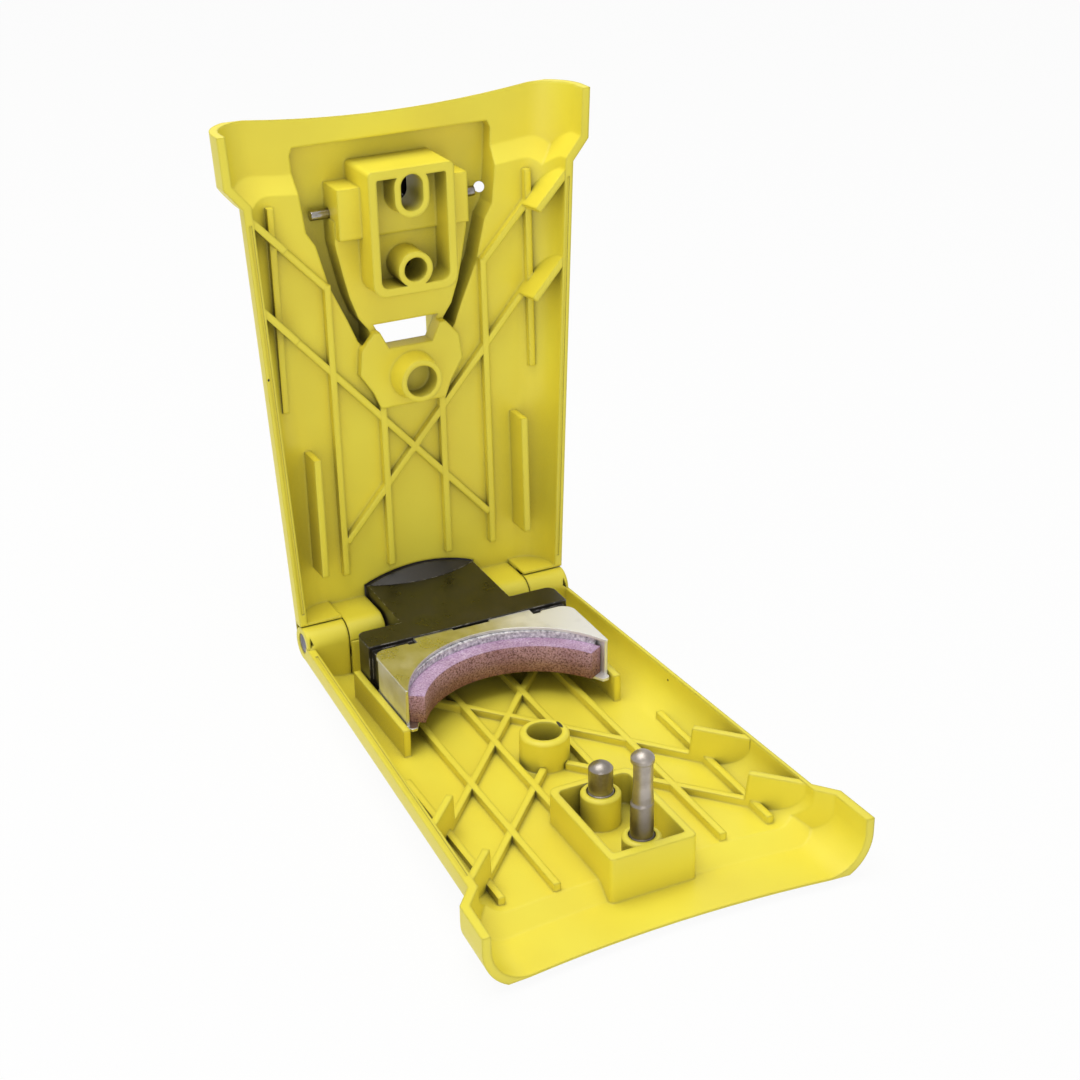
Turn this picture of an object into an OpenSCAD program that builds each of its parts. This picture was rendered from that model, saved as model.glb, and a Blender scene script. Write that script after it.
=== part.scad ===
// Clamshell chainsaw sharpener, shown open: the base lies flat and the cover stands on its hinge.
// Each shell is drawn in a shell frame: x across, y from the hinge line to the lip, z out of its mouth.

/* [Shells] */
// Width of a shell at the hinge line
hinge_w = 84; // [82:0.5:88]
// Width of a shell where the lip's flare begins
body_w = 97.2; // [95:0.2:100]
// Distance from the hinge line to the start of the lip's flare
body_len = 130; // [128:0.5:134]
// Width of the lip where its flare ends
lip_w = 107; // [106:0.2:110]
// Distance that the flare takes along the shell
flare_len = 6; // [4:0.5:8]
// Distance from the start of the lip's flare to its side corners
lip_len = 20.2; // [19:0.2:26]
// Depth of the floor under the rim
floor_depth = 10.9; // [10.5:0.1:12]
// Depth of the lip's floor under the rim
lip_depth = 14.6; // [14.2:0.1:16]
// Wall and floor thickness
skin = 2.3; // [2:0.1:2.6]
// Thickness of the base's right wall, which is thinner than the others
thin_wall = 1.1; // [1:0.1:1.6]
// Outer radius of the edge between floor and side wall
edge_r = 11; // [9:0.5:12]
// Outer radius of the same edge in the lip
lip_edge_r = 12.5; // [10:0.5:14]
// Radius in plan of the lip's hollow front edge
front_r = 342.4; // [330:0.2:360]
// How far the ramp between floor and lip runs along the shell
ramp_len = 4.9; // [4:0.1:6]
// Width of the groove in the rim
groove_w = 0.8; // [0.6:0.1:1]

/* [Hinge] */
// Angle to which the cover is open
open_angle = 91.46; // [90:0.01:95]
// Outer radius of the knuckles
knuckle_r = 4.9; // [4.5:0.1:5.5]
// Diameter of the hinge pins
hinge_pin_d = 6; // [5:0.1:6.5]
// Distance from the middle to the joint between the knuckles
joint_x = 29.4; // [28:0.1:31]
// Gap between knuckles
knuckle_gap = 0.4; // [0.3:0.1:0.6]
// Radial clearance of a pin in its hole
pin_clear = 0.05; // [0.03:0.01:0.08]

/* [Ribs] */
// Height of the low ribs
rib_h = 2.3; // [2:0.1:2.6]
// Width of the low ribs
rib_w = 1.9; // [1.5:0.1:2.2]
// Distance from the middle to the outer long ribs
outer_rib_x = 23.7; // [22:0.1:25]
// Distance from the middle to the inner long ribs
inner_rib_x = 9.2; // [8.6:0.1:10]
// Distance from the middle to the ribs beside the walls
side_rib_x = 38.4; // [37:0.1:39]

/* [Sled and stone] */
// Width of the sled's cross bar
sled_w = 62.2; // [60:0.2:64]
// Width of the sled's neck
neck_w = 34.4; // [32:0.2:35]
// Sliding clearance beside and under the sled
slide_gap = 0.3; // [0.2:0.05:0.4]
// Height of the sled's top above the rim plane
sled_top = 8.2; // [7:0.1:8.2]
// Distance from the hinge line to the back of the cross bar
bar_back = 15.5; // [15:0.5:18]
// Distance from the hinge line to the back of the holder
holder_back = 25; // [24:0.5:27]
// Distance from the hinge line to the holder's front tips
holder_front = 51.4; // [50.5:0.2:53]
// Sheet thickness of the holder
sheet_t = 0.9; // [0.7:0.1:1.2]
// Height of the holder's top above the rim plane
holder_top = 7.9; // [7:0.1:7.9]
// Height of the stone
stone_h = 8.4; // [7:0.1:9]
// Radial thickness of the stone
stone_t = 5; // [4:0.1:6]
// Radius of the stone's grinding face
stone_r = 30; // [29:0.5:31]
// Thickness of the bonding layer behind the stone
bond_t = 1.2; // [0.8:0.1:1.6]
// Angle that the stone covers
stone_angle = 117; // [100:1:118]
// Width of the press pad
pad_w = 35; // [34:0.2:35.2]
// Height of the press pad in its middle
pad_h = 22.4; // [20:0.2:23]

/* [Locator pins and boxes] */
// Diameter of the long pin
pin_d = 6; // [5.6:0.1:6.4]
// Diameter of the short pin
short_pin_d = 6.5; // [6.2:0.1:6.8]
// Height of the long pin's tip above the rim plane
long_pin_top = 23; // [22:0.1:24]
// Height of the short pin's tip above the rim plane
short_pin_top = 7.3; // [6.5:0.1:8]
// Distance from the hinge line to the long pin
long_pin_y = 127.8; // [127:0.1:129]
// Distance from the hinge line to the short pin
short_pin_y = 105.8; // [105:0.1:107]
// Distance from the hinge line to the locator ring
ring_y = 73.1; // [72:0.1:75]
// Outer width of the pin box
box_w = 24.4; // [23:0.2:26]
// Distance from the hinge line to the back of the boxes
box_back = 99; // [98:0.5:100]
// Distance from the hinge line to the front of the boxes
box_front = 134.5; // [134:0.5:136]
// Depth of the bar's seat on boxes and ring under the rim plane
seat_depth = 1.5; // [1:0.1:2]

/* [Latch] */
// Diameter of the cross pin
cross_pin_d = 3; // [2.5:0.1:3.5]
// Length of the cross pin
cross_pin_len = 49.4; // [47:0.2:51]
// Distance from the hinge line to the cross pin
cross_pin_y = 121.1; // [120.5:0.1:122]
// Depth of the cross pin under the cover's rim plane
cross_pin_depth = 16.2; // [16:0.1:16.6]
// Depth of the latch pocket under the cover's rim plane
pocket_depth = 19; // [18.6:0.1:20]
// Width of the latch lever
lever_w = 21.2; // [20:0.2:21.6]
// Thickness of the latch lever
lever_t = 2.5; // [2:0.1:3]

/* [Hidden] */
$fn = 64;
// Overlap that keeps cuts and joined solids clean
eps = 0.02;
// Reach that is longer than the object, for cuts
far = 400;

// Half widths and the taper of the side walls
hinge_x = hinge_w / 2;
body_x = body_w / 2;
taper = atan((body_x - hinge_x) / body_len);
lip_x = lip_w / 2;
lip_y = body_len + flare_len;
shell_len = body_len + lip_len;
lip_front_x = lip_x + (shell_len - lip_y) * tan(taper);
// The lip's side walls, carried back to the hinge line
lip_hinge_x = lip_x - lip_y * tan(taper);
// The lip's floor thins to a blade at the front edge
blade_t = 0.5;
blade_len = 5;
// Outer faces of floor and lip
body_bottom = floor_depth + skin;
lip_bottom = lip_depth + skin;
// Centre of the arcs of the ramp and the front edge, and the ramp's radii
lip_centre_y = body_len + 360;
ramp_top_y = body_len - 2.2;
ramp_top_r = lip_centre_y - ramp_top_y;
ramp_slope = ramp_len / (lip_depth - floor_depth);
// The sharpener stands on the hinge end of its floor and the back edge of its lip
stand_back_y = knuckle_r;
stand_front_y = ramp_top_y - skin + (lip_bottom - floor_depth) * ramp_slope;
stand_tilt = atan((lip_bottom - body_bottom) / (stand_front_y + stand_back_y));

// The diagonals are this much lower than the long ribs
rib_step = 0.1;

// Sled heights, measured from the rim plane
rib_top = rib_h - floor_depth;
sled_bottom = rib_top + slide_gap;
sled_x = sled_w / 2;
guide_x = sled_x + slide_gap;
guide_t = 2;
guide_top = -2.5;
guide_back = 18;
guide_front = 54.5;
// The holder's inside heights and the stone's arcs
holder_x = sled_x - 0.1;
plate_top = holder_top - stone_h - 2.9;
plate_bottom = plate_top - sheet_t;
stone_centre_y = 67.3;
stone_out_r = stone_r + stone_t;
bond_out_r = stone_out_r + bond_t;
holder_arc_r = 32.7;
holder_arc_y = 63.8;
// The press pad's arcs: its joint with the sled, its outer end and its rounded top and bottom
pad_x = pad_w / 2;
pad_joint_r = 35;
pad_joint_y = -5.8 - pad_joint_r;
pad_end_r = 24.2;
pad_end_y = 4.2;
pad_top_r = 46.7;
pad_slope_len = 4.6;
// Clearance around the pad and the neck in the shells
pad_clear = 0.35;
gate_x = pad_x + pad_clear;
gate_y = 12;

// Box, collars, slot and post
box_wall = 2;
pin_r = pin_d / 2;
short_pin_r = short_pin_d / 2;
// The pins are thicker in the base than where the bar sits on them
root_step = 0.2;
collar_gap = 0.3;
collar_wall = 1.6;
ring_r = 6.9;
ring_hole_r = 4.8;
slot_r = pin_r + 0.3;
slot_back = long_pin_y - 2.05;
slot_front = long_pin_y + 1.75;
post_r = 5.1;
post_hole_r = short_pin_r + 0.2;
post_y = short_pin_y;
// The long pin's neck lies off its axis, away from the latch's side
neck_r = 2.5;
neck_shift = 0.2;
neck_low = 7.6;
neck_step = 0.8;
neck_step_r = pin_r - neck_shift - 0.04;
neck_taper = 4.6;
neck_high = 20;
dome_h = 1.8;
boss_hole_depth = 6.8;
// Cover box, whose floor is higher on the lip's side of a step
box_step_y = 114.6;
box_step = 1.2;
cover_box_x = 12.7;
cover_box_inner_x = 10.3;
cover_box_back = box_back;
cover_box_front = box_front + 0.2;
// Latch: lever faces, hook and the walls of its well
cross_pin_r = cross_pin_d / 2;
lever_x = lever_w / 2;
lever_inner = pocket_depth - 0.2;
lever_outer = lever_inner + lever_t;
lever_back = 90;
lever_front = long_pin_y + 4.6;
lever_gap = 0.9;
lever_swing = 1.2;
well_back = 78;
well_back_x = 10.4;
well_x = lever_x + lever_gap;
well_step = 0.3;
ear_t = 2;
ear_r = 2.4;
hook_t = 1;
hook_gap = 0.1;
head_gap = 0.4;
lug_x = 19.4;
lug_back = 115;
lug_front = 129.3;
lug_top = 8;
tongue = [[0, 88.5], [10.6, 86], [14.2, 91], [16.5, 97.5], [18, 104], [19.8, 113], [19.8, 120],
    [lug_x - 0.5, 120], [lug_x - 0.5, lug_front - 0.5], [12, lug_front - 0.5], [12, box_front - 0.6],
    [0, box_front - 0.6]];
pocket_end = body_len + 11;
pocket_side = [[13, 82], [15, 84.5], [17.6, 91], [22.5, 102], [25.5, 114], [28, 118], [29.3, 129],
    [29.9, pocket_end - 2], [29, pocket_end]];
// Torsion spring on the cross pin
spring_wire = 0.7;
spring_turns = 7;
spring_pitch = 1.25;
spring_r = cross_pin_r + spring_wire / 2 + 0.15;
echo(spring_gap = spring_pitch - spring_wire);

// Places the part on the ground, hinge line across at y = 0 before the shift to the middle
ground_z = body_bottom * cos(stand_tilt) + stand_back_y * sin(stand_tilt);
cover_lean = open_angle - 90 + stand_tilt;
back_y = (pocket_end + skin) * sin(cover_lean) + (pocket_depth + skin) * cos(cover_lean);
front_y = -shell_len * cos(stand_tilt) - (lip_bottom - 0.6) * sin(stand_tilt);
middle_y = -(back_y + front_y) / 2;
echo(stand_tilt = stand_tilt, middle_y = middle_y, ground_z = ground_z);

module stand() {
    translate([0, middle_y, ground_z])
        rotate([-stand_tilt, 0, 0])
            children();
}

// Turns a shell frame into the base, mouth up, with its lip to the front
module as_base() {
    stand() rotate([0, 0, 180]) children();
}

// Turns a shell frame into the cover, standing open on the hinge line
module as_cover() {
    stand() rotate([180 - open_angle, 0, 0]) children();
}

module both_sides() {
    children();
    mirror([1, 0, 0]) children();
}

// Section of one half of a tray: flat floor, rounded edge, upright wall at x = 0
module tray_section(depth, r) {
    translate([-far / 2, r - depth]) square([far / 2, depth - r + eps]);
    translate([-far / 2, -depth]) square([far / 2 - r, r + eps]);
    translate([-r, r - depth]) circle(r);
}

// Everything inside one side wall, which starts at x at the hinge line and runs out at an angle
module wall_slab(x, angle, depth, r) {
    translate([x, 0, 0])
        rotate([0, 0, -angle])
            translate([0, far / 2, 0])
                rotate([90, 0, 0])
                    linear_extrude(far) tray_section(depth, r);
}

module block(x0, x1, y0, y1, z0, z1) {
    translate([x0, y0, z0]) cube([x1 - x0, y1 - y0, z1 - z0]);
}

module body_solid(inset, left_inset, y0, y1) {
    intersection() {
        wall_slab(hinge_x - inset, taper, body_bottom - inset, edge_r - inset);
        mirror([1, 0, 0]) wall_slab(hinge_x - left_inset, taper, body_bottom - inset, edge_r - inset);
        block(-far / 4, far / 4, y0, y1, -far / 4, 0);
    }
}

// Plan of the lip: the flare from the body's corner out to the lip's straight sides
module lip_plan(inset) {
    back_x = body_x - edge_r - 1;
    y0 = body_len + inset * 0.4;
    overlap = 0.2;
    side = [[back_x, y0 - 10],
        [body_x - inset - overlap * (lip_x - body_x), y0 - overlap * flare_len],
        [lip_x - inset, y0 + flare_len], [lip_front_x - inset, shell_len]];
    polygon(concat(side, [for (i = [3:-1:0]) [-side[i].x, side[i].y]]));
}

// Everything in front of the curved ramp between floor and lip, moved back by shift
module ramp_front(shift) {
    depth = lip_bottom + skin;
    low_r = ramp_top_r + shift - (depth - floor_depth) * ramp_slope;
    top_r = ramp_top_r + shift + floor_depth * ramp_slope;
    translate([0, lip_centre_y, -depth])
        cylinder(h = depth, r1 = low_r, r2 = top_r, $fn = 360);
}

module lip_solid(inset, shift) {
    intersection() {
        wall_slab(lip_hinge_x - inset, taper, lip_bottom - inset, lip_edge_r - inset);
        mirror([1, 0, 0]) wall_slab(lip_hinge_x - inset, taper, lip_bottom - inset, lip_edge_r - inset);
        translate([0, 0, -far / 4]) linear_extrude(far / 4) lip_plan(inset);
        ramp_front(shift);
    }
}

// Everything in front of the lip's hollow front edge, and the wedge under its blade
module front_cut() {
    translate([0, lip_centre_y, 0]) {
        translate([0, 0, -far / 8]) cylinder(h = far / 4, r = front_r, $fn = 360);
        translate([0, 0, -lip_bottom - eps])
            cylinder(h = skin - blade_t + eps, r1 = front_r + blade_len, r2 = front_r, $fn = 360);
    }
}

// Outer form of a shell, without ribs and knuckles
module shell_outer() {
    difference() {
        union() {
            body_solid(0, 0, -knuckle_r, body_len + 2);
            lip_solid(0, skin);
        }
        front_cut();
    }
}

// Hollow of a shell with walls of skin thickness, or another thickness on the left
module shell_hollow(left_wall) {
    translate([0, 0, eps]) {
        body_solid(skin, left_wall, -knuckle_r + skin, body_len + 3);
        difference() {
            translate([0, eps, 0]) lip_solid(skin, 0);
            block(-far / 4, far / 4, 0, ramp_top_y - 8, -far / 4, 0);
        }
    }
}

// Opening at the hinge end that the sled's neck and pad pass through
module gate() {
    intersection() {
        block(-gate_x, gate_x, -far / 8, gate_y, -far / 8, eps);
        translate([0, gate_y - pad_top_r, -far / 8]) cylinder(h = far / 4, r = pad_top_r);
    }
}

// Groove along the top of a side wall
module rim_groove() {
    both_sides()
        translate([hinge_x - skin / 2 - 0.2, 0, 0])
            rotate([0, 0, -taper])
                block(-groove_w / 2, groove_w / 2, 9, body_len - 4, -0.35, eps);
}

// A rib from one point to another, whose last part is a tall gusset up to the rim
module rib(from, to, gusset_len = 0) {
    run = norm(to - from);
    heading = atan2(to.y - from.y, to.x - from.x);
    low = skin / 2 + rib_h - (gusset_len > 0 ? rib_step : 0);
    high = floor_depth + skin / 2 - 0.3;
    end = gusset_len > 0
        ? [[run, high], [run - gusset_len + 0.8, high - 0.3], [run - gusset_len, low]]
        : [[run, low]];
    translate([from.x, from.y, -floor_depth - skin / 2])
        rotate([0, 0, heading])
            translate([0, rib_w / 2, 0])
                rotate([90, 0, 0])
                    linear_extrude(rib_w)
                        polygon(concat([[0, 0], [run, 0]], end, [[0, low]]));
}

// Diagonal that crosses the middle near the sled and ends in a gusset at the side wall
module crossing_rib() {
    rib([-22.8, 24.2], [46.7, 103.2], 17);
}

// Diagonal that runs from the side wall's front corner to the ring or the long rib
module corner_rib(inner_end) {
    rib(inner_end, [49, body_len - 0.6], 17.5);
}

module long_rib(x, y0, y1) {
    rib([x, y0], [x, y1]);
}

// Upright wall that guides the sled and the holder
module guide_wall() {
    block(guide_x, guide_x + guide_t, guide_back, guide_front, -floor_depth - skin / 2, guide_top);
}

// One shell's knuckle: a barrel on a solid foot between x0 and x1
module knuckle(x0, x1) {
    translate([x0, 0, 0]) rotate([0, 90, 0]) cylinder(h = x1 - x0, r = knuckle_r);
    block(x0, x1, -knuckle_r, knuckle_r, -body_bottom + eps, 0);
}

// Small wedge-shaped nick between a knuckle's barrel and the side wall
module knuckle_nick() {
    x = hinge_x - 1;
    both_sides()
        translate([x, knuckle_r + 1, 0])
            rotate([90, 0, 0])
                linear_extrude(knuckle_r - hinge_pin_d / 2 + 0.8)
                    polygon([[0.4, 0.3], [-0.8, 1.2], [-0.1, 3.2]]);
}

module hinge_bore() {
    translate([-far / 4, 0, 0])
        rotate([0, 90, 0]) cylinder(h = far / 2, r = hinge_pin_d / 2 + pin_clear);
}

// Shell with the ribs that both halves share and the room for the other half's knuckles
module shell_blank(left_wall, long_outer, long_inner, corner_end, knuckle_x0, knuckle_x1,
    clear_x0, clear_x1) {
    difference() {
        union() {
            difference() {
                shell_outer();
                shell_hollow(left_wall);
            }
            intersection() {
                shell_outer();
                both_sides() {
                    long_rib(outer_rib_x, 14, long_outer);
                    long_rib(inner_rib_x, 14, long_inner);
                    long_rib(side_rib_x, 68, body_len - 3);
                    crossing_rib();
                    corner_rib(corner_end);
                    guide_wall();
                    block(clear_x0, clear_x1, -knuckle_r, knuckle_r + 1, -body_bottom, 0);
                }
            }
            intersection() {
                both_sides() knuckle(knuckle_x0, knuckle_x1);
                union() {
                    body_solid(0, 0, -far, far);
                    rotate([0, 90, 0]) cylinder(h = far, r = knuckle_r, center = true);
                }
            }
        }
        both_sides()
            block(clear_x0 - knuckle_gap, clear_x1 + knuckle_gap, -far / 8, knuckle_r + 0.4,
                -knuckle_r - 0.4, far / 8);
        gate();
        rim_groove();
    }
}

// Plan of a box whose corners are round by back_r near the hinge and front_r near the lip
module box_plan(x, y0, y1, back_r, front_r) {
    for (s = [-1, 1]) {
        translate([s * (x - back_r), y0 + back_r]) circle(back_r);
        translate([s * (x - front_r), y1 - front_r]) circle(front_r);
    }
    translate([back_r - x, y0]) square([2 * (x - back_r), y1 - y0 - front_r]);
    translate([front_r - x, y1 - 2 * front_r]) square([2 * (x - front_r), 2 * front_r]);
    translate([-x, y0 + back_r]) square([2 * x, y1 - y0 - back_r - front_r]);
}

// Walls of the open box round the two pins
module pin_box() {
    low = -lip_depth - skin / 2;
    x = box_w / 2;
    translate([0, 0, low]) linear_extrude(-seat_depth - low) difference() {
        box_plan(x, box_back, box_front, 2.5, 1.2);
        box_plan(x - box_wall, box_back + box_wall, box_front - box_wall - 0.6, 1.8, 1);
    }
}

module collar(y, r, top) {
    chamfer = 0.7;
    low = -floor_depth - skin / 2;
    translate([0, y, low]) cylinder(h = top - chamfer - low, r = r);
    translate([0, y, top - chamfer]) cylinder(h = chamfer, r1 = r, r2 = r - chamfer);
}

// Bore for a pin of radius r through the floor, with a wider hole in the collar above it
module pin_seat(y, r) {
    translate([0, y, -floor_depth]) cylinder(h = far / 8, r = r + collar_gap);
    translate([0, y, -far / 8]) cylinder(h = far / 8, r = r + pin_clear);
}

module base_shell() {
    color("#f2e133") as_base() difference() {
        union() {
            shell_blank(left_wall = thin_wall, long_outer = body_len - 2, long_inner = box_back + 1,
                corner_end = [3.5, 79.5],
                knuckle_x0 = joint_x, knuckle_x1 = hinge_x,
                clear_x0 = gate_x, clear_x1 = joint_x - knuckle_gap);
            pin_box();
            collar(ring_y, ring_r, -seat_depth);
            collar(short_pin_y, short_pin_r + root_step + collar_gap + collar_wall, -seat_depth);
            collar(long_pin_y, pin_r + root_step + collar_gap + collar_wall, -seat_depth);
        }
        hinge_bore();
        knuckle_nick();
        translate([0, ring_y, -floor_depth]) cylinder(h = far / 8, r = ring_hole_r);
        pin_seat(short_pin_y, short_pin_r + root_step);
        pin_seat(long_pin_y, pin_r + root_step);
    }
}

// Pocket outline on one side, grown outward by grow
module pocket_plan(grow) {
    back = pocket_side[0].y;
    side = [for (p = pocket_side)
        [p.x + grow, p.y == back ? p.y - grow : (p.y == pocket_end ? p.y + grow : p.y)]];
    n = len(side);
    polygon(concat(side, [for (i = [n - 1:-1:0]) [-side[i].x, side[i].y]]));
}

module tongue_plan() {
    n = len(tongue);
    polygon(concat(tongue, [for (i = [n - 2:-1:1]) [-tongue[i].x, tongue[i].y]]));
}

// Hollow of the latch pocket and of the channels that run round the tongue
module pocket_hollow() {
    difference() {
        translate([0, 0, -pocket_depth]) linear_extrude(pocket_depth - floor_depth + 1) pocket_plan(0);
        translate([0, 0, -far / 8]) linear_extrude(far / 4) tongue_plan();
        block(-well_back_x - 1, well_back_x + 1, 80, 89, -far / 8, far / 8);
    }
}

// Well on the outside of the cover that the lever lies in, with room for a finger behind it
module lever_well() {
    top = -body_bottom - well_step;
    block(-well_x, well_x, lever_back - 1.5, lever_front + lever_swing, -far / 8, top);
    block(-well_back_x, well_back_x, well_back, lever_back, -far / 8, top);
}

// Raised plate and tapered boss that press on the bar from the cover
module cover_boss() {
    plate = [[10, 64], [12, 69], [15.8, 75], [15, 82.3], [11, 87]];
    n = len(plate);
    plate_h = 8;
    boss_top = -1;
    translate([0, 0, -floor_depth - skin / 2])
        linear_extrude(floor_depth + skin / 2 - plate_h)
            polygon(concat(plate, [for (i = [n - 1:-1:0]) [-plate[i].x, plate[i].y]]));
    translate([0, ring_y - 0.2, -plate_h - eps])
        cylinder(h = plate_h + boss_top + eps, r1 = 7, r2 = 6.2);
}

// Window through the cover at the lever's free end
module window() {
    translate([0, 0, -far / 8])
        linear_extrude(far / 4)
            polygon([[-6.7, 81.7], [6.7, 81.7], [10, 88.5], [-10, 88.5]]);
}

// Slanted hole in line with the cross pin, through the foot of the pocket's wall
module pin_entry() {
    translate([27.8, cross_pin_y, -pocket_depth])
        rotate([-15.4, -25.6, 0]) cylinder(h = 14, r = cross_pin_r + pin_clear, center = true);
}

// The cover's box, deeper near the lip, with a step in its floor
module cover_box() {
    wall = cover_box_x - cover_box_inner_x;
    low = -lip_depth - skin / 2;
    difference() {
        union() {
            translate([0, 0, low])
                linear_extrude(-seat_depth - low)
                    box_plan(cover_box_x, cover_box_back, cover_box_front, 4, 1.2);
            translate([0, 0, -pocket_depth - skin / 2])
                linear_extrude(pocket_depth + skin / 2 - seat_depth - 1)
                    box_plan(cover_box_x, box_front - 12, cover_box_front, 1, 1.2);
        }
        translate([0, 0, -floor_depth])
            linear_extrude(far / 8)
                box_plan(cover_box_inner_x, cover_box_back + wall, cover_box_front - wall, 2.4, 0.6);
    }
    block(0.5 - cover_box_x, cover_box_x - 0.5, box_step_y, box_front - 1, -floor_depth - skin / 2,
        box_step - floor_depth);
}

module slot_plan(r, y0, y1) {
    translate([0, y0]) circle(r);
    translate([0, y1]) circle(r);
    translate([-r, y0]) square([2 * r, y1 - y0]);
}

module cover_shell() {
    post_top = -seat_depth;
    low = -floor_depth - skin / 2;
    color("#e0d035") as_cover() difference() {
        union() {
            difference() {
                union() {
                    shell_blank(left_wall = skin, long_outer = 103, long_inner = 66,
                        corner_end = [outer_rib_x, 102],
                        knuckle_x0 = gate_x, knuckle_x1 = joint_x - knuckle_gap,
                        clear_x0 = joint_x, clear_x1 = far / 8);
                    difference() {
                        translate([0, 0, -pocket_depth - skin])
                            linear_extrude(pocket_depth + skin - floor_depth) pocket_plan(skin);
                        shell_hollow(skin);
                    }
                    cover_boss();
                }
                pocket_hollow();
            }
            cover_box();
            both_sides() block(12, lug_x, lug_back, lug_front, -pocket_depth - skin / 2, -lug_top);
            translate([0, 0, low]) linear_extrude(-seat_depth - low)
                slot_plan(slot_r + 1.8, slot_back, slot_front);
            translate([0, post_y, low]) cylinder(h = post_top - low, r = post_r);
        }
        lever_well();
        pin_entry();
        hinge_bore();
        window();
        translate([0, 0, -far / 8]) linear_extrude(far / 4) slot_plan(slot_r, slot_back, slot_front);
        translate([0, post_y, -far / 8]) cylinder(h = far / 4, r = post_hole_r);
        translate([0, ring_y - 0.2, -boss_hole_depth]) cylinder(h = far / 8, r = 4.65);
        translate([-cross_pin_len / 2 - 0.3, cross_pin_y, -cross_pin_depth])
            rotate([0, 90, 0]) cylinder(h = far / 8, r = cross_pin_r + pin_clear);
    }
}

module hinge_pin(side) {
    len = hinge_x - gate_x - 0.6;
    color("#6e6e74") stand()
        translate([side < 0 ? -hinge_x + 0.3 : gate_x + 0.3, 0, 0])
            rotate([0, 90, 0]) cylinder(h = len, r = hinge_pin_d / 2);
}

module hinge_pin_left() {
    hinge_pin(-1);
}

module hinge_pin_right() {
    hinge_pin(1);
}

// Upright round pin of radius r with a thicker root and a domed end at height top
module domed_pin(y, r, top) {
    dome_r = (r * r + dome_h * dome_h) / (2 * dome_h);
    foot = -body_bottom + 0.3;
    translate([0, y, 0]) {
        translate([0, 0, foot]) cylinder(h = -seat_depth - foot, r = r + root_step);
        intersection() {
            translate([0, 0, foot]) cylinder(h = top - foot, r = r);
            union() {
                translate([0, 0, foot]) cylinder(h = top - dome_h - foot, r = r + 1);
                translate([0, 0, top - dome_r]) sphere(dome_r);
            }
        }
    }
}

module long_locator_pin() {
    reach = pin_r + neck_shift + 0.05;
    color("#8f9090") as_base() difference() {
        domed_pin(long_pin_y, pin_r, long_pin_top);
        translate([-neck_shift, long_pin_y, 0]) rotate_extrude()
            polygon([[neck_r, neck_low + neck_step + neck_taper], [neck_step_r, neck_low + neck_step],
                [reach, neck_low], [reach + 1, neck_low], [reach + 1, neck_high], [neck_r, neck_high]]);
    }
}

module short_locator_pin() {
    color("#8f9090") as_base() domed_pin(short_pin_y, short_pin_r, short_pin_top);
}

// Plan of the space inside the holder, from its back to the arc behind the stone
module tongue_block() {
    inner_x = holder_x - sheet_t - 0.1;
    difference() {
        block(-inner_x, inner_x, holder_back - eps, holder_front - 7, plate_top + 0.05,
            holder_top - sheet_t - 0.05);
        translate([0, stone_centre_y, -far / 8]) cylinder(h = far / 4, r = bond_out_r, $fn = 128);
    }
}

module push_sled() {
    corner = 2.5;
    color("#3a3728") as_base() union() {
        difference() {
            block(-neck_w / 2, neck_w / 2, pad_joint_y, bar_back + 1, sled_bottom, sled_top);
            translate([0, pad_joint_y, -far / 8]) cylinder(h = far / 4, r = pad_joint_r, $fn = 128);
        }
        translate([0, 0, sled_bottom]) linear_extrude(sled_top - sled_bottom) {
            translate([-sled_x, bar_back + corner]) square([sled_w, holder_back - bar_back - corner]);
            translate([corner - sled_x, bar_back]) square([sled_w - 2 * corner, corner + 1]);
            for (s = [-1, 1]) translate([s * (sled_x - corner), bar_back + corner]) circle(corner);
        }
        tongue_block();
    }
}

// Rounded end of the sled that is pressed against a post or log
module press_pad() {
    half_h = pad_h / 2;
    round_r = 4;
    color("#2e2b28") as_base() intersection() {
        translate([0, pad_joint_y, 0]) {
            translate([0, 0, -sled_top]) cylinder(h = 2 * sled_top, r = pad_joint_r, $fn = 128);
            for (s = [0, 1]) mirror([0, 0, s])
                translate([0, 0, sled_top - eps])
                    cylinder(h = half_h - sled_top + eps, r1 = pad_joint_r,
                        r2 = pad_joint_r - pad_slope_len, $fn = 128);
        }
        rotate([90, 0, 0]) linear_extrude(far / 4) intersection() {
            translate([0, half_h - pad_top_r]) circle(pad_top_r, $fn = 128);
            translate([0, pad_top_r - half_h]) circle(pad_top_r, $fn = 128);
            square([pad_w, far / 4], center = true);
        }
        translate([0, pad_end_y, 0]) rotate_extrude($fn = 128) {
            translate([0, -half_h]) square([pad_end_r - round_r, 2 * half_h]);
            translate([0, round_r - half_h]) square([pad_end_r, 2 * half_h - 2 * round_r]);
            for (s = [-1, 1]) translate([pad_end_r - round_r, s * (half_h - round_r)]) circle(round_r);
        }
    }
}

// Plan of a holder plate: rounded at the back, with a hollow front edge between rounded tips
module holder_plan(back, back_r, front, corner_r, arc_y, arc_r) {
    difference() {
        union() {
            translate([-holder_x, back + back_r])
                square([2 * holder_x, front - back - back_r - corner_r]);
            translate([back_r - holder_x, back]) square([2 * (holder_x - back_r), back_r + 1]);
            for (s = [-1, 1]) {
                translate([s * (holder_x - back_r), back + back_r]) circle(back_r);
                translate([s * (holder_x - corner_r), front - corner_r]) circle(corner_r);
            }
            translate([corner_r - holder_x, front - 2 * corner_r])
                square([2 * (holder_x - corner_r), 2 * corner_r]);
        }
        translate([0, arc_y]) circle(arc_r, $fn = 128);
    }
}

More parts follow.
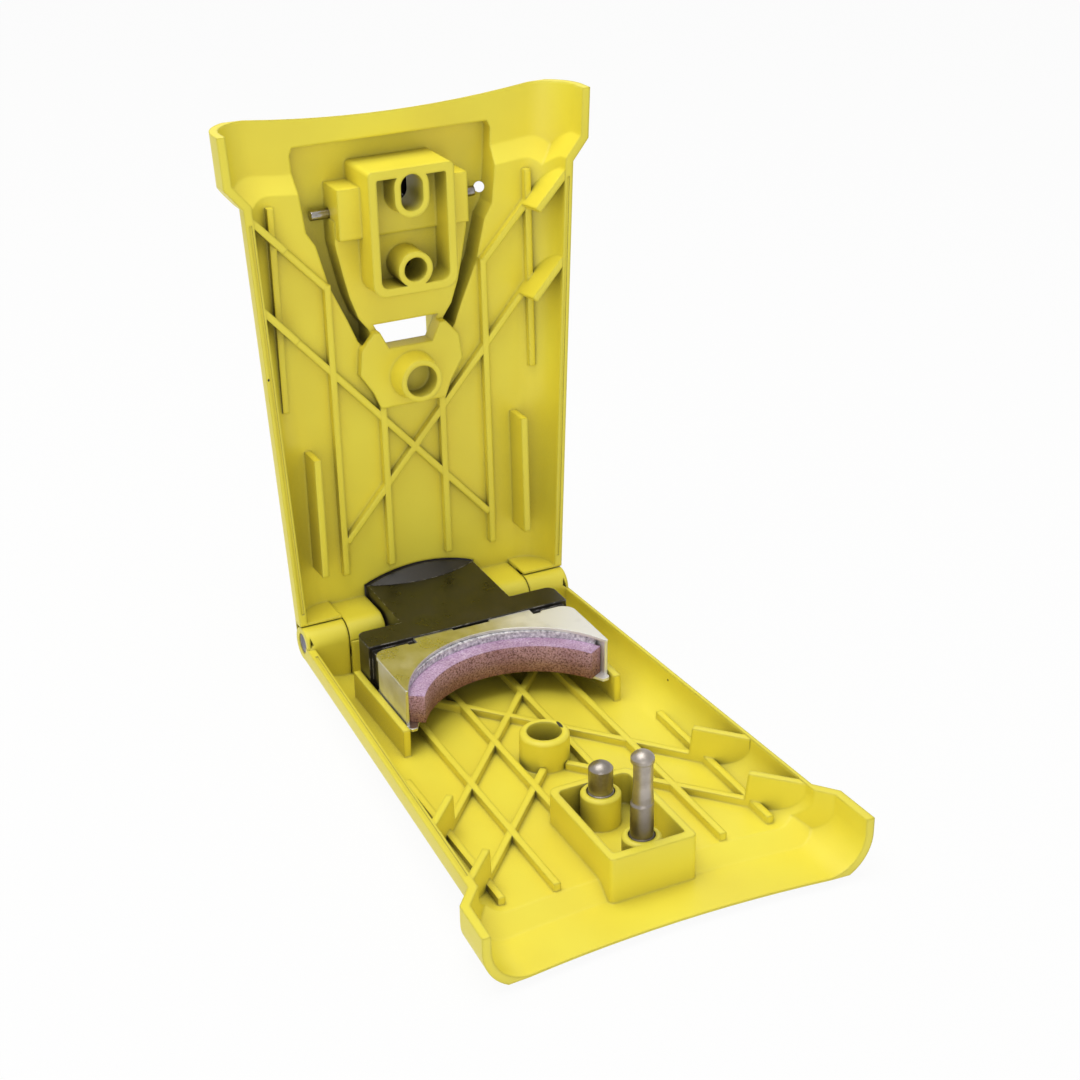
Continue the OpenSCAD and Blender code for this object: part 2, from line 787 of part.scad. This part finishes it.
module stone_holder() {
    back_r = 4;
    side_back = holder_back + 2.2;
    tab_x0 = -19;
    tab_x1 = 17.5;
    wall_front = holder_front - 0.4;
    color("#c9cbd0") as_base() {
        difference() {
            union() {
                translate([0, 0, holder_top - sheet_t])
                    linear_extrude(sheet_t)
                        holder_plan(side_back, back_r, holder_front, 0.3, holder_arc_y, holder_arc_r);
                block(tab_x0, tab_x1, holder_back, side_back + 1, holder_top - sheet_t, holder_top);
            }
            block(-6, 5.5, 0, holder_back + 1.1, 0, far / 8);
            for (x = [tab_x0 - 2.6, tab_x1]) block(x, x + 2.6, 0, side_back + 0.8, 0, far / 8);
        }
        translate([0, 0, plate_bottom])
            linear_extrude(sheet_t)
                holder_plan(side_back, back_r, holder_front + 1.6, 1.2, stone_centre_y, stone_r + 2);
        both_sides()
            block(holder_x - sheet_t, holder_x, side_back + back_r + 0.3, wall_front,
                plate_bottom, holder_top);
    }
}

// Ring sector round the stone's centre, between two radii and two heights
module sector(r0, r1, z0, z1, angle) {
    half = angle / 2;
    reach = 2 * r1;
    translate([0, stone_centre_y, z0]) linear_extrude(z1 - z0) intersection() {
        difference() {
            circle(r1, $fn = 128);
            circle(r0, $fn = 128);
        }
        polygon([[0, 0], [reach * sin(half), -reach * cos(half)], [0, -reach * 1.2],
            [-reach * sin(half), -reach * cos(half)]]);
    }
}

module stone_bond() {
    color("#9a97a0") as_base()
        sector(stone_out_r + 0.02, bond_out_r - 0.02, plate_top + 0.05, holder_top - sheet_t - 0.1,
            stone_angle - 7);
}

module grinding_stone() {
    color("#a98a92") as_base()
        sector(stone_r, stone_out_r, plate_top + 0.05, plate_top + stone_h, stone_angle);
}

module latch_lever() {
    color("#4a4a50") as_cover() difference() {
        union() {
            block(-lever_x, lever_x, lever_back, lever_front, -lever_outer, -lever_inner);
            both_sides() {
                translate([lever_x - ear_t, cross_pin_y, -cross_pin_depth])
                    rotate([0, 90, 0]) cylinder(h = ear_t, r = ear_r);
                block(lever_x - ear_t, lever_x, cross_pin_y - ear_r, cross_pin_y + ear_r,
                    -lever_inner - eps, -cross_pin_depth);
            }
        }
        translate([0, cross_pin_y, -cross_pin_depth])
            rotate([0, 90, 0]) cylinder(h = far / 4, r = cross_pin_r + pin_clear, center = true);
        translate([0, 0, -far / 8])
            linear_extrude(far / 8 - lever_inner - hook_t)
                slot_plan(pin_r + head_gap, long_pin_y - lever_swing, long_pin_y);
        translate([0, 0, -far / 8]) linear_extrude(far / 8) intersection() {
            slot_plan(pin_r + head_gap, long_pin_y - lever_swing, long_pin_y);
            translate([-lever_x, lever_back])
                square([lever_w, long_pin_y + neck_r + hook_gap - lever_back]);
        }
    }
}

module latch_cross_pin() {
    color("#b9babd") as_cover()
        translate([-cross_pin_len / 2, cross_pin_y, -cross_pin_depth])
            rotate([0, 90, 0]) cylinder(h = cross_pin_len, r = cross_pin_r);
}

// A point on the spring's centre line after t turns
function coil_point(t) = [(t - spring_turns / 2) * spring_pitch,
    spring_r * cos(360 * t), spring_r * sin(360 * t)];

// One six-sided ring of the spring's wire after t turns
function coil_ring(t) = [for (k = [0:5])
    let (out = spring_r + spring_wire / 2 * cos(60 * k), c = coil_point(t))
    [c.x + spring_wire / 2 * sin(60 * k), out * cos(360 * t), out * sin(360 * t)]];

module latch_spring() {
    rings = spring_turns * 10 + 1;
    points = [for (i = [0:rings - 1]) each coil_ring(i / 10)];
    sides = [for (i = [0:rings - 2], k = [0:5])
        let (a = 6 * i + k, b = 6 * i + (k + 1) % 6)
        each [[a, b, a + 6], [b, b + 6, a + 6]]];
    first = [for (k = [1:4]) [0, k + 1, k]];
    last = [for (k = [1:4]) [6 * rings - 6, 6 * rings - 6 + k, 6 * rings - 6 + k + 1]];
    color("#8f9090") as_cover()
        translate([0, cross_pin_y, -cross_pin_depth])
            polyhedron(points, concat(sides, first, last));
}

base_shell();
cover_shell();
hinge_pin_left();
hinge_pin_right();
long_locator_pin();
short_locator_pin();
push_sled();
press_pad();
stone_holder();
stone_bond();
grinding_stone();
latch_lever();
latch_cross_pin();
latch_spring();
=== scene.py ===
"""Clamshell chainsaw sharpener, shown open on a plain pale floor."""

import bpy
from mathutils import Matrix, Vector

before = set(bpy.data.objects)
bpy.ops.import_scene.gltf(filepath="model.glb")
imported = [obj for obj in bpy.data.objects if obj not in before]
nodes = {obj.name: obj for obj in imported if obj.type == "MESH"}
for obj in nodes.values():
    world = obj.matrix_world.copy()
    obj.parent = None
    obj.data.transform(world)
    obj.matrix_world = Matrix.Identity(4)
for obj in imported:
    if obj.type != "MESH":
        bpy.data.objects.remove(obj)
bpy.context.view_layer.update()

MM = 0.001


def linear(hex_colour):
    """An sRGB hex colour as the linear RGBA that shaders take."""
    parts = [int(hex_colour[i : i + 2], 16) / 255 for i in (1, 3, 5)]
    return tuple(c / 12.92 if c <= 0.04045 else ((c + 0.055) / 1.055) ** 2.4 for c in parts) + (1.0,)


def add(tree, kind, links=None, stops=(), **settings):
    """Adds a shader node.

    links gives each socket a value or another node's output. stops are a colour ramp's positions and
    hex colours.
    """
    made = tree.nodes.new(kind)
    for name, value in settings.items():
        setattr(made, name, value)
    for socket, value in (links or {}).items():
        if isinstance(value, bpy.types.NodeSocket):
            tree.links.new(value, made.inputs[socket])
        else:
            made.inputs[socket].default_value = value
    if stops:
        elements = made.color_ramp.elements
        while len(elements) < len(stops):
            elements.new(0.5)
        for element, (position, hex_colour) in zip(elements, stops):
            element.position = position
            element.color = linear(hex_colour)
    return made


def per_metre(size_mm):
    """Noise scale whose pattern repeats about every size_mm."""
    return 1 / (size_mm * MM)


def new_material(name):
    material = bpy.data.materials.new(name)
    material.use_nodes = True
    material.node_tree.nodes.clear()
    return material


def finish_material(material, shader):
    add(material.node_tree, "ShaderNodeOutputMaterial", {"Surface": shader.outputs[0]})
    return material


# ---------------------------------------------------------------- camera

# Worked out from how the two shells lie in the photo
CAMERA_AT = Vector((-212.05, -438.78, 324.63)) * MM
CAMERA_RIGHT = Vector((0.89656, -0.44291, 0.0001))
CAMERA_UP = Vector((0.20727, 0.41985, 0.88361))
SENSOR_WIDTH = 36
FOCAL_LENGTH = 69.87


def make_camera():
    data = bpy.data.cameras.new("camera")
    data.sensor_width = SENSOR_WIDTH
    data.lens = FOCAL_LENGTH
    camera = bpy.data.objects.new("camera", data)
    back = CAMERA_RIGHT.cross(CAMERA_UP)
    turn = Matrix((CAMERA_RIGHT, CAMERA_UP, back)).transposed().to_4x4()
    camera.matrix_world = Matrix.Translation(CAMERA_AT) @ turn
    bpy.context.scene.collection.objects.link(camera)
    bpy.context.scene.camera = camera


make_camera()


# ---------------------------------------------------------------- materials

# Rays that look for a nearby edge or corner
EDGE_SAMPLES = 6

# Dark marks on the shells, centre and half lengths in mm: a chip on the ring's rim, and a speck each
# on the base's right wall and the cover's left rim
MARKS = (
    ((5.2, -11.1, 13.75), (0.5, 1.8, 0.6)),
    ((44.05, -2.0, 12.2), (0.35, 0.35, 0.35)),
    ((-45.6, 65.23, 95.4), (0.3, 0.3, 0.4)),
)
MARK_COLOUR = "#1E1C12"

# The stretch from the stone's foot to its top edge, and the long pin's lower half that is painted darker as
# shade
STONE_FOOT, STONE_EDGE = 11 * MM, 19.5 * MM
SHADE_TOP, SHADE_FULL = 30 * MM, 20 * MM
# The holder's right half, from its middle to where it is palest
WHITE_END_START, WHITE_END_FULL = 0.0, 22 * MM


def marked(tree, place, colour):
    """The colour with the dark marks mixed in."""
    for centre, half_lengths in MARKS:
        away = add(
            tree, "ShaderNodeVectorMath", {0: place, 1: Vector(centre) * MM}, operation="SUBTRACT",
        )
        share = add(
            tree, "ShaderNodeVectorMath", {0: away.outputs["Vector"], 1: Vector(half_lengths) * MM},
            operation="DIVIDE",
        )
        reach = add(tree, "ShaderNodeVectorMath", {0: share.outputs["Vector"]}, operation="LENGTH")
        inside = add(
            tree, "ShaderNodeMapRange",
            {"Value": reach.outputs["Value"], "From Min": 1.15, "From Max": 0.85},
        )
        colour = add(
            tree, "ShaderNodeMix",
            {"Factor": inside.outputs["Result"], "A": colour, "B": linear(MARK_COLOUR)},
            data_type="RGBA",
        ).outputs["Result"]
    return colour


def rounded(tree, round_mm):
    """The surface's normal as if its edges were rounded by round_mm."""
    return add(tree, "ShaderNodeBevel", {"Radius": round_mm * MM}, samples=EDGE_SAMPLES).outputs["Normal"]


def on_edge(tree, soft, flat_from, sharp_from, most=1.0):
    """How far each point lies on an edge: none where soft is within flat_from of the true normal."""
    true = add(tree, "ShaderNodeNewGeometry")
    same = add(
        tree, "ShaderNodeVectorMath", {0: soft, 1: true.outputs["Normal"]}, operation="DOT_PRODUCT",
    )
    edge = add(
        tree, "ShaderNodeMapRange",
        {"Value": same.outputs["Value"], "From Min": flat_from, "From Max": sharp_from, "To Max": most},
    )
    return edge.outputs["Result"]


def moulded_yellow_abs(name, lit, shade):
    """Moulded ABS: an even satin skin with a fine eroded grain, open edges painted paler as highlight and
    wear, painted shade in the corners.
    """
    material = new_material(name)
    tree = material.node_tree
    place = add(tree, "ShaderNodeTexCoord").outputs["Object"]
    grain = add(tree, "ShaderNodeTexNoise", {"Vector": place, "Scale": per_metre(0.5), "Detail": 3.0})
    flow = add(tree, "ShaderNodeTexNoise", {"Vector": place, "Scale": per_metre(26), "Detail": 2.0})
    tone = add(tree, "ShaderNodeValToRGB", {"Fac": flow.outputs["Fac"]}, [(0.3, shade), (0.7, lit)])
    # the edges of ribs and walls are rounded in shading, and where they stand open they are painted paler,
    # as painted highlight and partly wear
    soft = rounded(tree, 1.1)
    edge = on_edge(tree, soft, 0.98, 0.75, 0.5)
    # how open each point lies, seen to 11 mm around it
    open_air = add(tree, "ShaderNodeAmbientOcclusion", {"Distance": 11 * MM}, samples=EDGE_SAMPLES)
    openness = open_air.outputs["AO"]
    open_edge = add(tree, "ShaderNodeMath", {0: edge, 1: openness}, operation="MULTIPLY")
    edge_highlight_and_wear = add(
        tree, "ShaderNodeMix",
        {"Factor": open_edge.outputs[0], "A": tone.outputs["Color"], "B": linear("#FFF04A")},
        data_type="RGBA",
    )
    # painted shade: the corners are greyed, and narrow pockets are painted near black, by how closed in
    # they lie
    corner_shade = add(
        tree, "ShaderNodeMapRange", {"Value": openness, "From Min": 0.72, "From Max": 0.12, "To Max": 0.62},
    )
    corner_shaded = add(
        tree, "ShaderNodeMix",
        {"Factor": corner_shade.outputs["Result"], "A": edge_highlight_and_wear.outputs["Result"], "B": linear("#7A7440")},
        data_type="RGBA",
    )
    pocket_shade = add(
        tree, "ShaderNodeMapRange", {"Value": openness, "From Min": 0.22, "From Max": 0.05, "To Max": 0.85},
    )
    pocket_shaded = add(
        tree, "ShaderNodeMix",
        {"Factor": pocket_shade.outputs["Result"], "A": corner_shaded.outputs["Result"], "B": linear("#2E2C18")},
        data_type="RGBA",
    )
    gloss = add(
        tree, "ShaderNodeMapRange",
        {"Value": grain.outputs["Fac"], "From Min": 0.3, "From Max": 0.7, "To Min": 0.4, "To Max": 0.5},
    )
    bump = add(
        tree, "ShaderNodeBump",
        {"Height": grain.outputs["Fac"], "Distance": 0.02 * MM, "Strength": 0.5, "Normal": soft},
    )
    shader = add(
        tree, "ShaderNodeBsdfPrincipled",
        {"Base Color": marked(tree, place, pocket_shaded.outputs["Result"]),
         "Roughness": gloss.outputs["Result"], "Normal": bump.outputs["Normal"], "IOR": 1.58},
    )
    return finish_material(material, shader)


def moulded_black_nylon(name, dark, grey, rough):
    """Glass-filled nylon: near black, smooth enough to mirror the yellow around it, its edges painted pale
    in short runs as glints and chips.
    """
    material = new_material(name)
    tree = material.node_tree
    place = add(tree, "ShaderNodeTexCoord").outputs["Object"]
    grain = add(tree, "ShaderNodeTexNoise", {"Vector": place, "Scale": per_metre(0.8), "Detail": 4.0})
    smear = add(
        tree, "ShaderNodeTexNoise",
        {"Vector": place, "Scale": per_metre(9), "Detail": 5.0, "Roughness": 0.65},
    )
    tone = add(tree, "ShaderNodeValToRGB", {"Fac": smear.outputs["Fac"]}, [(0.35, dark), (0.7, grey)])
    gloss = add(
        tree, "ShaderNodeMapRange",
        {"Value": smear.outputs["Fac"], "From Min": 0.3, "From Max": 0.7,
         "To Min": rough, "To Max": rough + 0.18},
    )
    soft = rounded(tree, 0.6)
    edge = on_edge(tree, soft, 0.97, 0.8)
    # painted glints and chips: the moulding's edges are painted pale in short runs
    runs = add(tree, "ShaderNodeTexNoise", {"Vector": place, "Scale": per_metre(2.2), "Detail": 4.0})
    broken = add(
        tree, "ShaderNodeMapRange",
        {"Value": runs.outputs["Fac"], "From Min": 0.5, "From Max": 0.62, "To Max": 0.7},
    )
    glint_and_chip = add(tree, "ShaderNodeMath", {0: edge, 1: broken.outputs["Result"]}, operation="MULTIPLY")
    glinted_and_chipped = add(
        tree, "ShaderNodeMix",
        {"Factor": glint_and_chip.outputs[0], "A": tone.outputs["Color"], "B": linear("#C9C4BC")},
        data_type="RGBA",
    )
    bump = add(
        tree, "ShaderNodeBump",
        {"Height": grain.outputs["Fac"], "Distance": 0.02 * MM, "Strength": 0.4, "Normal": soft},
    )
    shader = add(
        tree, "ShaderNodeBsdfPrincipled",
        {"Base Color": glinted_and_chipped.outputs["Result"], "Roughness": gloss.outputs["Result"],
         "Normal": bump.outputs["Normal"], "IOR": 1.53},
    )
    return finish_material(material, shader)


def steel(name, light, dark, rough, grain_mm, pit_mm=0.02, along=(0, 0, 1), shade_foot=None):
    """Bar steel: grey metal with fine turning marks round it and faint stains.

    along is the bar's direction. The foot colour is painted shade, darker on a tall pin lower down.
    """
    material = new_material(name)
    tree = material.node_tree
    place = add(tree, "ShaderNodeTexCoord").outputs["Object"]
    # turning marks are stretched round the bar, so they are fine along it only
    squeeze = tuple(1.0 if a else 0.06 for a in along)
    turned = add(tree, "ShaderNodeMapping", {"Vector": place, "Scale": squeeze})
    marks = add(
        tree, "ShaderNodeTexNoise",
        {"Vector": turned.outputs["Vector"], "Scale": per_metre(grain_mm), "Detail": 3.0},
    )
    stain = add(
        tree, "ShaderNodeTexNoise",
        {"Vector": place, "Scale": per_metre(3.5), "Detail": 5.0, "Roughness": 0.6},
    )
    stained = add(tree, "ShaderNodeValToRGB", {"Fac": stain.outputs["Fac"]}, [(0.35, dark), (0.62, light)])
    tone = stained.outputs["Color"]
    # painted shade: a tall pin is painted darker lower down
    if shade_foot:
        height = add(tree, "ShaderNodeSeparateXYZ", {0: place})
        low = add(
            tree, "ShaderNodeMapRange",
            {"Value": height.outputs["Z"], "From Min": SHADE_TOP, "From Max": SHADE_FULL, "To Max": 0.85},
        )
        tone = add(
            tree, "ShaderNodeMix", {"Factor": low.outputs["Result"], "A": tone, "B": linear(shade_foot)},
            data_type="RGBA",
        ).outputs["Result"]
    gloss = add(
        tree, "ShaderNodeMapRange",
        {"Value": stain.outputs["Fac"], "From Min": 0.3, "From Max": 0.7,
         "To Min": rough + 0.1, "To Max": rough},
    )
    bump = add(
        tree, "ShaderNodeBump",
        {"Height": marks.outputs["Fac"], "Distance": pit_mm * MM, "Strength": 0.4,
         "Normal": rounded(tree, 0.5)},
    )
    shader = add(
        tree, "ShaderNodeBsdfPrincipled",
        {"Base Color": tone, "Roughness": gloss.outputs["Result"], "Metallic": 1.0,
         "Normal": bump.outputs["Normal"]},
    )
    return finish_material(material, shader)


def mill_finish_aluminium(name):
    """Sheet aluminium: bright metal with long rolling marks across the holder and a few dull patches."""
    material = new_material(name)
    tree = material.node_tree
    source = add(tree, "ShaderNodeTexCoord")
    place, facing = source.outputs["Object"], source.outputs["Normal"]
    rolled = add(tree, "ShaderNodeMapping", {"Vector": place, "Scale": (0.04, 1.0, 1.0)})
    marks = add(
        tree, "ShaderNodeTexNoise",
        {"Vector": rolled.outputs["Vector"], "Scale": per_metre(0.25), "Detail": 4.0},
    )
    patch = add(
        tree, "ShaderNodeTexNoise",
        {"Vector": place, "Scale": per_metre(7), "Detail": 4.0, "Roughness": 0.6},
    )
    # the right end turns a duller white
    spot = add(tree, "ShaderNodeSeparateXYZ", {0: place})
    white_end = add(
        tree, "ShaderNodeMapRange",
        {"Value": spot.outputs["X"], "From Min": WHITE_END_START, "From Max": WHITE_END_FULL, "To Max": 0.6},
    )
    # dust dulls the two side walls
    turned = add(tree, "ShaderNodeSeparateXYZ", {0: facing})
    sideways = add(tree, "ShaderNodeMath", {0: turned.outputs["X"]}, operation="ABSOLUTE")
    side_dust = add(
        tree, "ShaderNodeMapRange",
        {"Value": sideways.outputs[0], "From Min": 0.5, "From Max": 0.9, "To Max": 0.24},
    )
    whitened = add(
        tree, "ShaderNodeMath", {0: white_end.outputs["Result"], 1: side_dust.outputs["Result"]},
        operation="MAXIMUM",
    )
    dull = add(
        tree, "ShaderNodeMath", {0: whitened.outputs[0], 1: patch.outputs["Fac"]}, operation="ADD",
    )
    # where it is whiter or dusty, less bare metal shows
    bare = add(
        tree, "ShaderNodeMapRange",
        {"Value": whitened.outputs[0], "From Max": 0.55, "To Min": 1.0, "To Max": 0.5},
    )
    tone = add(
        tree, "ShaderNodeValToRGB", {"Fac": dull.outputs[0]},
        [(0.3, "#CBCAC5"), (0.65, "#DAD9D5"), (1.0, "#EEEDEA")],
    )
    gloss = add(
        tree, "ShaderNodeMapRange",
        {"Value": dull.outputs[0], "From Min": 0.3, "From Max": 1.0, "To Min": 0.24, "To Max": 0.5},
    )
    bump = add(
        tree, "ShaderNodeBump",
        {"Height": marks.outputs["Fac"], "Distance": 0.01 * MM, "Strength": 0.5,
         "Normal": rounded(tree, 0.4)},
    )
    shader = add(
        tree, "ShaderNodeBsdfPrincipled",
        {"Base Color": tone.outputs["Color"], "Roughness": gloss.outputs["Result"],
         "Metallic": bare.outputs["Result"], "Normal": bump.outputs["Normal"]},
    )
    return finish_material(material, shader)


def pink_corundum(name):
    """Bonded aluminium oxide: dry lilac-pink grit, its worn grinding face browned by oil and metal."""
    material = new_material(name)
    tree = material.node_tree
    source = add(tree, "ShaderNodeTexCoord")
    place, facing = source.outputs["Object"], source.outputs["Normal"]
    grit = add(tree, "ShaderNodeTexVoronoi", {"Vector": place, "Scale": per_metre(0.45)})
    fine = add(tree, "ShaderNodeTexNoise", {"Vector": place, "Scale": per_metre(0.5), "Detail": 4.0})
    cloud = add(tree, "ShaderNodeTexNoise", {"Vector": place, "Scale": per_metre(8), "Detail": 3.0})
    pink = add(
        tree, "ShaderNodeValToRGB", {"Fac": fine.outputs["Fac"]},
        [(0.3, "#A886A8"), (0.45, "#C9A8CC"), (0.6, "#DABFDC"), (0.75, "#F2E4F2")],
    )
    # the face is browner towards its foot, where the saw's oil gathers
    height = add(tree, "ShaderNodeSeparateXYZ", {0: place})
    rise = add(
        tree, "ShaderNodeMapRange",
        {"Value": height.outputs["Z"], "From Min": STONE_FOOT, "From Max": STONE_EDGE},
    )
    oily = add(
        tree, "ShaderNodeValToRGB", {"Fac": rise.outputs["Result"]},
        [(0.0, "#9C7058"), (0.3, "#B08878"), (0.55, "#C29AA4"), (1.0, "#DCB4CE")],
    )
    speckle = add(
        tree, "ShaderNodeValToRGB", {"Fac": fine.outputs["Fac"]},
        [(0.32, "#887E78"), (0.46, "#DAD2CE"), (0.6, "#FFFFFF")],
    )
    brown = add(
        tree, "ShaderNodeMix",
        {"Factor": 1.0, "A": oily.outputs["Color"], "B": speckle.outputs["Color"]},
        data_type="RGBA", blend_type="MULTIPLY",
    )
    # the top is clean and pink
    up = add(tree, "ShaderNodeSeparateXYZ", {0: facing})
    top = add(
        tree, "ShaderNodeMapRange", {"Value": up.outputs["Z"], "From Min": 0.3, "From Max": 0.8},
    )
    tone = add(
        tree, "ShaderNodeMix",
        {"Factor": top.outputs["Result"], "A": brown.outputs["Result"], "B": pink.outputs["Color"]},
        data_type="RGBA",
    )
    shade = add(
        tree, "ShaderNodeValToRGB", {"Fac": cloud.outputs["Fac"]}, [(0.3, "#D8CCD0"), (0.7, "#FFFFFF")],
    )
    mixed = add(
        tree, "ShaderNodeMix",
        {"Factor": 1.0, "A": tone.outputs["Result"], "B": shade.outputs["Color"]},
        data_type="RGBA", blend_type="MULTIPLY",
    )
    lumps = add(
        tree, "ShaderNodeMath", {0: grit.outputs["Distance"], 1: fine.outputs["Fac"]}, operation="ADD",
    )
    bump = add(
        tree, "ShaderNodeBump",
        {"Height": lumps.outputs[0], "Distance": 0.15 * MM, "Strength": 0.7,
         "Normal": rounded(tree, 0.5)},
    )
    shader = add(
        tree, "ShaderNodeBsdfPrincipled",
        {"Base Color": mixed.outputs["Result"], "Roughness": 0.92, "Normal": bump.outputs["Normal"],
         "IOR": 1.5},
    )
    return finish_material(material, shader)


def grey_epoxy(name):
    """Filled epoxy: a lumpy grey bead with white and dark specks of filler and dust."""
    material = new_material(name)
    tree = material.node_tree
    place = add(tree, "ShaderNodeTexCoord").outputs["Object"]
    speck = add(tree, "ShaderNodeTexNoise", {"Vector": place, "Scale": per_metre(0.9), "Detail": 4.0})
    tone = add(
        tree, "ShaderNodeValToRGB", {"Fac": speck.outputs["Fac"]},
        [(0.3, "#7A767C"), (0.42, "#B8B4BC"), (0.56, "#DAD6DC"), (0.68, "#FAF8FA")],
    )
    bump = add(
        tree, "ShaderNodeBump", {"Height": speck.outputs["Fac"], "Distance": 0.3 * MM, "Strength": 0.8},
    )
    shader = add(
        tree, "ShaderNodeBsdfPrincipled",
        {"Base Color": tone.outputs["Color"], "Roughness": 0.55, "Normal": bump.outputs["Normal"],
         "IOR": 1.5},
    )
    return finish_material(material, shader)


def dress(material, *names):
    """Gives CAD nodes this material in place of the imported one."""
    for name in names:
        data = nodes[name].data
        data.materials.clear()
        data.materials.append(material)


dress(moulded_yellow_abs("moulded_yellow_abs", lit="#FAEC4A", shade="#F4E344"), "base_shell", "cover_shell")
dress(moulded_black_nylon("moulded_black_nylon", dark="#14110D", grey="#25211B", rough=0.24), "push_sled")
dress(moulded_black_nylon("scuffed_black_nylon", dark="#191513", grey="#2A2522", rough=0.38), "press_pad")
dress(mill_finish_aluminium("mill_finish_aluminium"), "stone_holder")
dress(pink_corundum("pink_corundum"), "grinding_stone")
dress(grey_epoxy("grey_epoxy"), "stone_bond")
dress(
    steel("turned_steel", light="#B4ACA4", dark="#A0988F", rough=0.34, grain_mm=0.25, shade_foot="#6C645B"),
    "long_locator_pin",
)
dress(
    steel("oily_turned_steel", light="#A69E96", dark="#8C857D", rough=0.3, grain_mm=0.25),
    "short_locator_pin",
)
dress(
    steel("cut_bar_steel", light="#8A8896", dark="#5C5A66", rough=0.35, grain_mm=0.25, along=(1, 0, 0)),
    "hinge_pin_left", "hinge_pin_right",
)
dress(
    steel(
        "ground_bright_steel", light="#A8A49E", dark="#7C766E", rough=0.12, grain_mm=0.2, pit_mm=0.003,
        along=(1, 0, 0),
    ),
    "latch_cross_pin", "latch_spring",
)
dress(steel("blackened_steel", light="#5A5A60", dark="#38383C", rough=0.35, grain_mm=0.4), "latch_lever")


# ---------------------------------------------------------------- floor and light

FLOOR_HALF = 4.0
# Share of plain white in what the camera and mirrors see of the floor: the rest keeps the shadow
FLOOR_WHITE = 0.94
# The world's light on the object, and how bright metal mirrors it
SKY_LIGHT = 0.36
SKY_MIRRORED = 0.8


def make_floor():
    """Plain pale floor: the camera sees it almost white, and it keeps a faint shadow."""
    far = FLOOR_HALF
    data = bpy.data.meshes.new("floor")
    data.from_pydata([(-far, -far, 0), (far, -far, 0), (far, far, 0), (-far, far, 0)], [], [(0, 1, 2, 3)])
    floor = bpy.data.objects.new("floor", data)
    bpy.context.scene.collection.objects.link(floor)
    material = new_material("matt_white_paper")
    tree = material.node_tree
    paper = add(tree, "ShaderNodeBsdfDiffuse", {"Color": linear("#F4F4F2")})
    white = add(tree, "ShaderNodeEmission", {"Color": linear("#FFFFFF"), "Strength": 1.0})
    ray = add(tree, "ShaderNodeLightPath")
    seen = add(
        tree, "ShaderNodeMath",
        {0: ray.outputs["Is Camera Ray"], 1: ray.outputs["Is Glossy Ray"]}, operation="MAXIMUM",
    )
    share = add(tree, "ShaderNodeMath", {0: seen.outputs[0], 1: FLOOR_WHITE}, operation="MULTIPLY")
    shader = add(
        tree, "ShaderNodeMixShader", {0: share.outputs[0], 1: paper.outputs[0], 2: white.outputs[0]},
    )
    data.materials.append(finish_material(material, shader))


def make_world():
    """A world that the camera sees white, and that lights the object evenly and less strongly."""
    world = bpy.data.worlds.new("studio")
    world.use_nodes = True
    tree = world.node_tree
    tree.nodes.clear()
    ray = add(tree, "ShaderNodeLightPath")
    seen = add(
        tree, "ShaderNodeMath",
        {0: ray.outputs["Is Camera Ray"], 1: ray.outputs["Is Transmission Ray"]}, operation="MAXIMUM",
    )
    mirrored = add(
        tree, "ShaderNodeMapRange",
        {"Value": ray.outputs["Is Glossy Ray"], "To Min": SKY_LIGHT, "To Max": SKY_MIRRORED},
    )
    strength = add(
        tree, "ShaderNodeMath", {0: seen.outputs[0], 1: mirrored.outputs["Result"]}, operation="MAXIMUM",
    )
    light = add(
        tree, "ShaderNodeBackground", {"Color": linear("#FFFFFF"), "Strength": strength.outputs[0]},
    )
    add(tree, "ShaderNodeOutputWorld", {"Surface": light.outputs[0]})
    bpy.context.scene.world = world


def soft_box(name, at, towards, size, power):
    """A square soft light of that size in metres and power in watts."""
    data = bpy.data.lights.new(name, "AREA")
    data.size = size
    data.energy = power
    box = bpy.data.objects.new(name, data)
    box.location = at
    box.rotation_euler = (Vector(towards) - Vector(at)).to_track_quat("-Z", "Y").to_euler()
    bpy.context.scene.collection.objects.link(box)


make_floor()
make_world()
soft_box("top_box", at=(-0.15, 0.05, 0.9), towards=(0, 0, 0.05), size=0.7, power=5.2)
soft_box("front_box", at=(-0.45, -1.0, 0.35), towards=(0, 0.05, 0.08), size=0.7, power=2.6)

bpy.context.scene.view_settings.view_transform = "Standard"
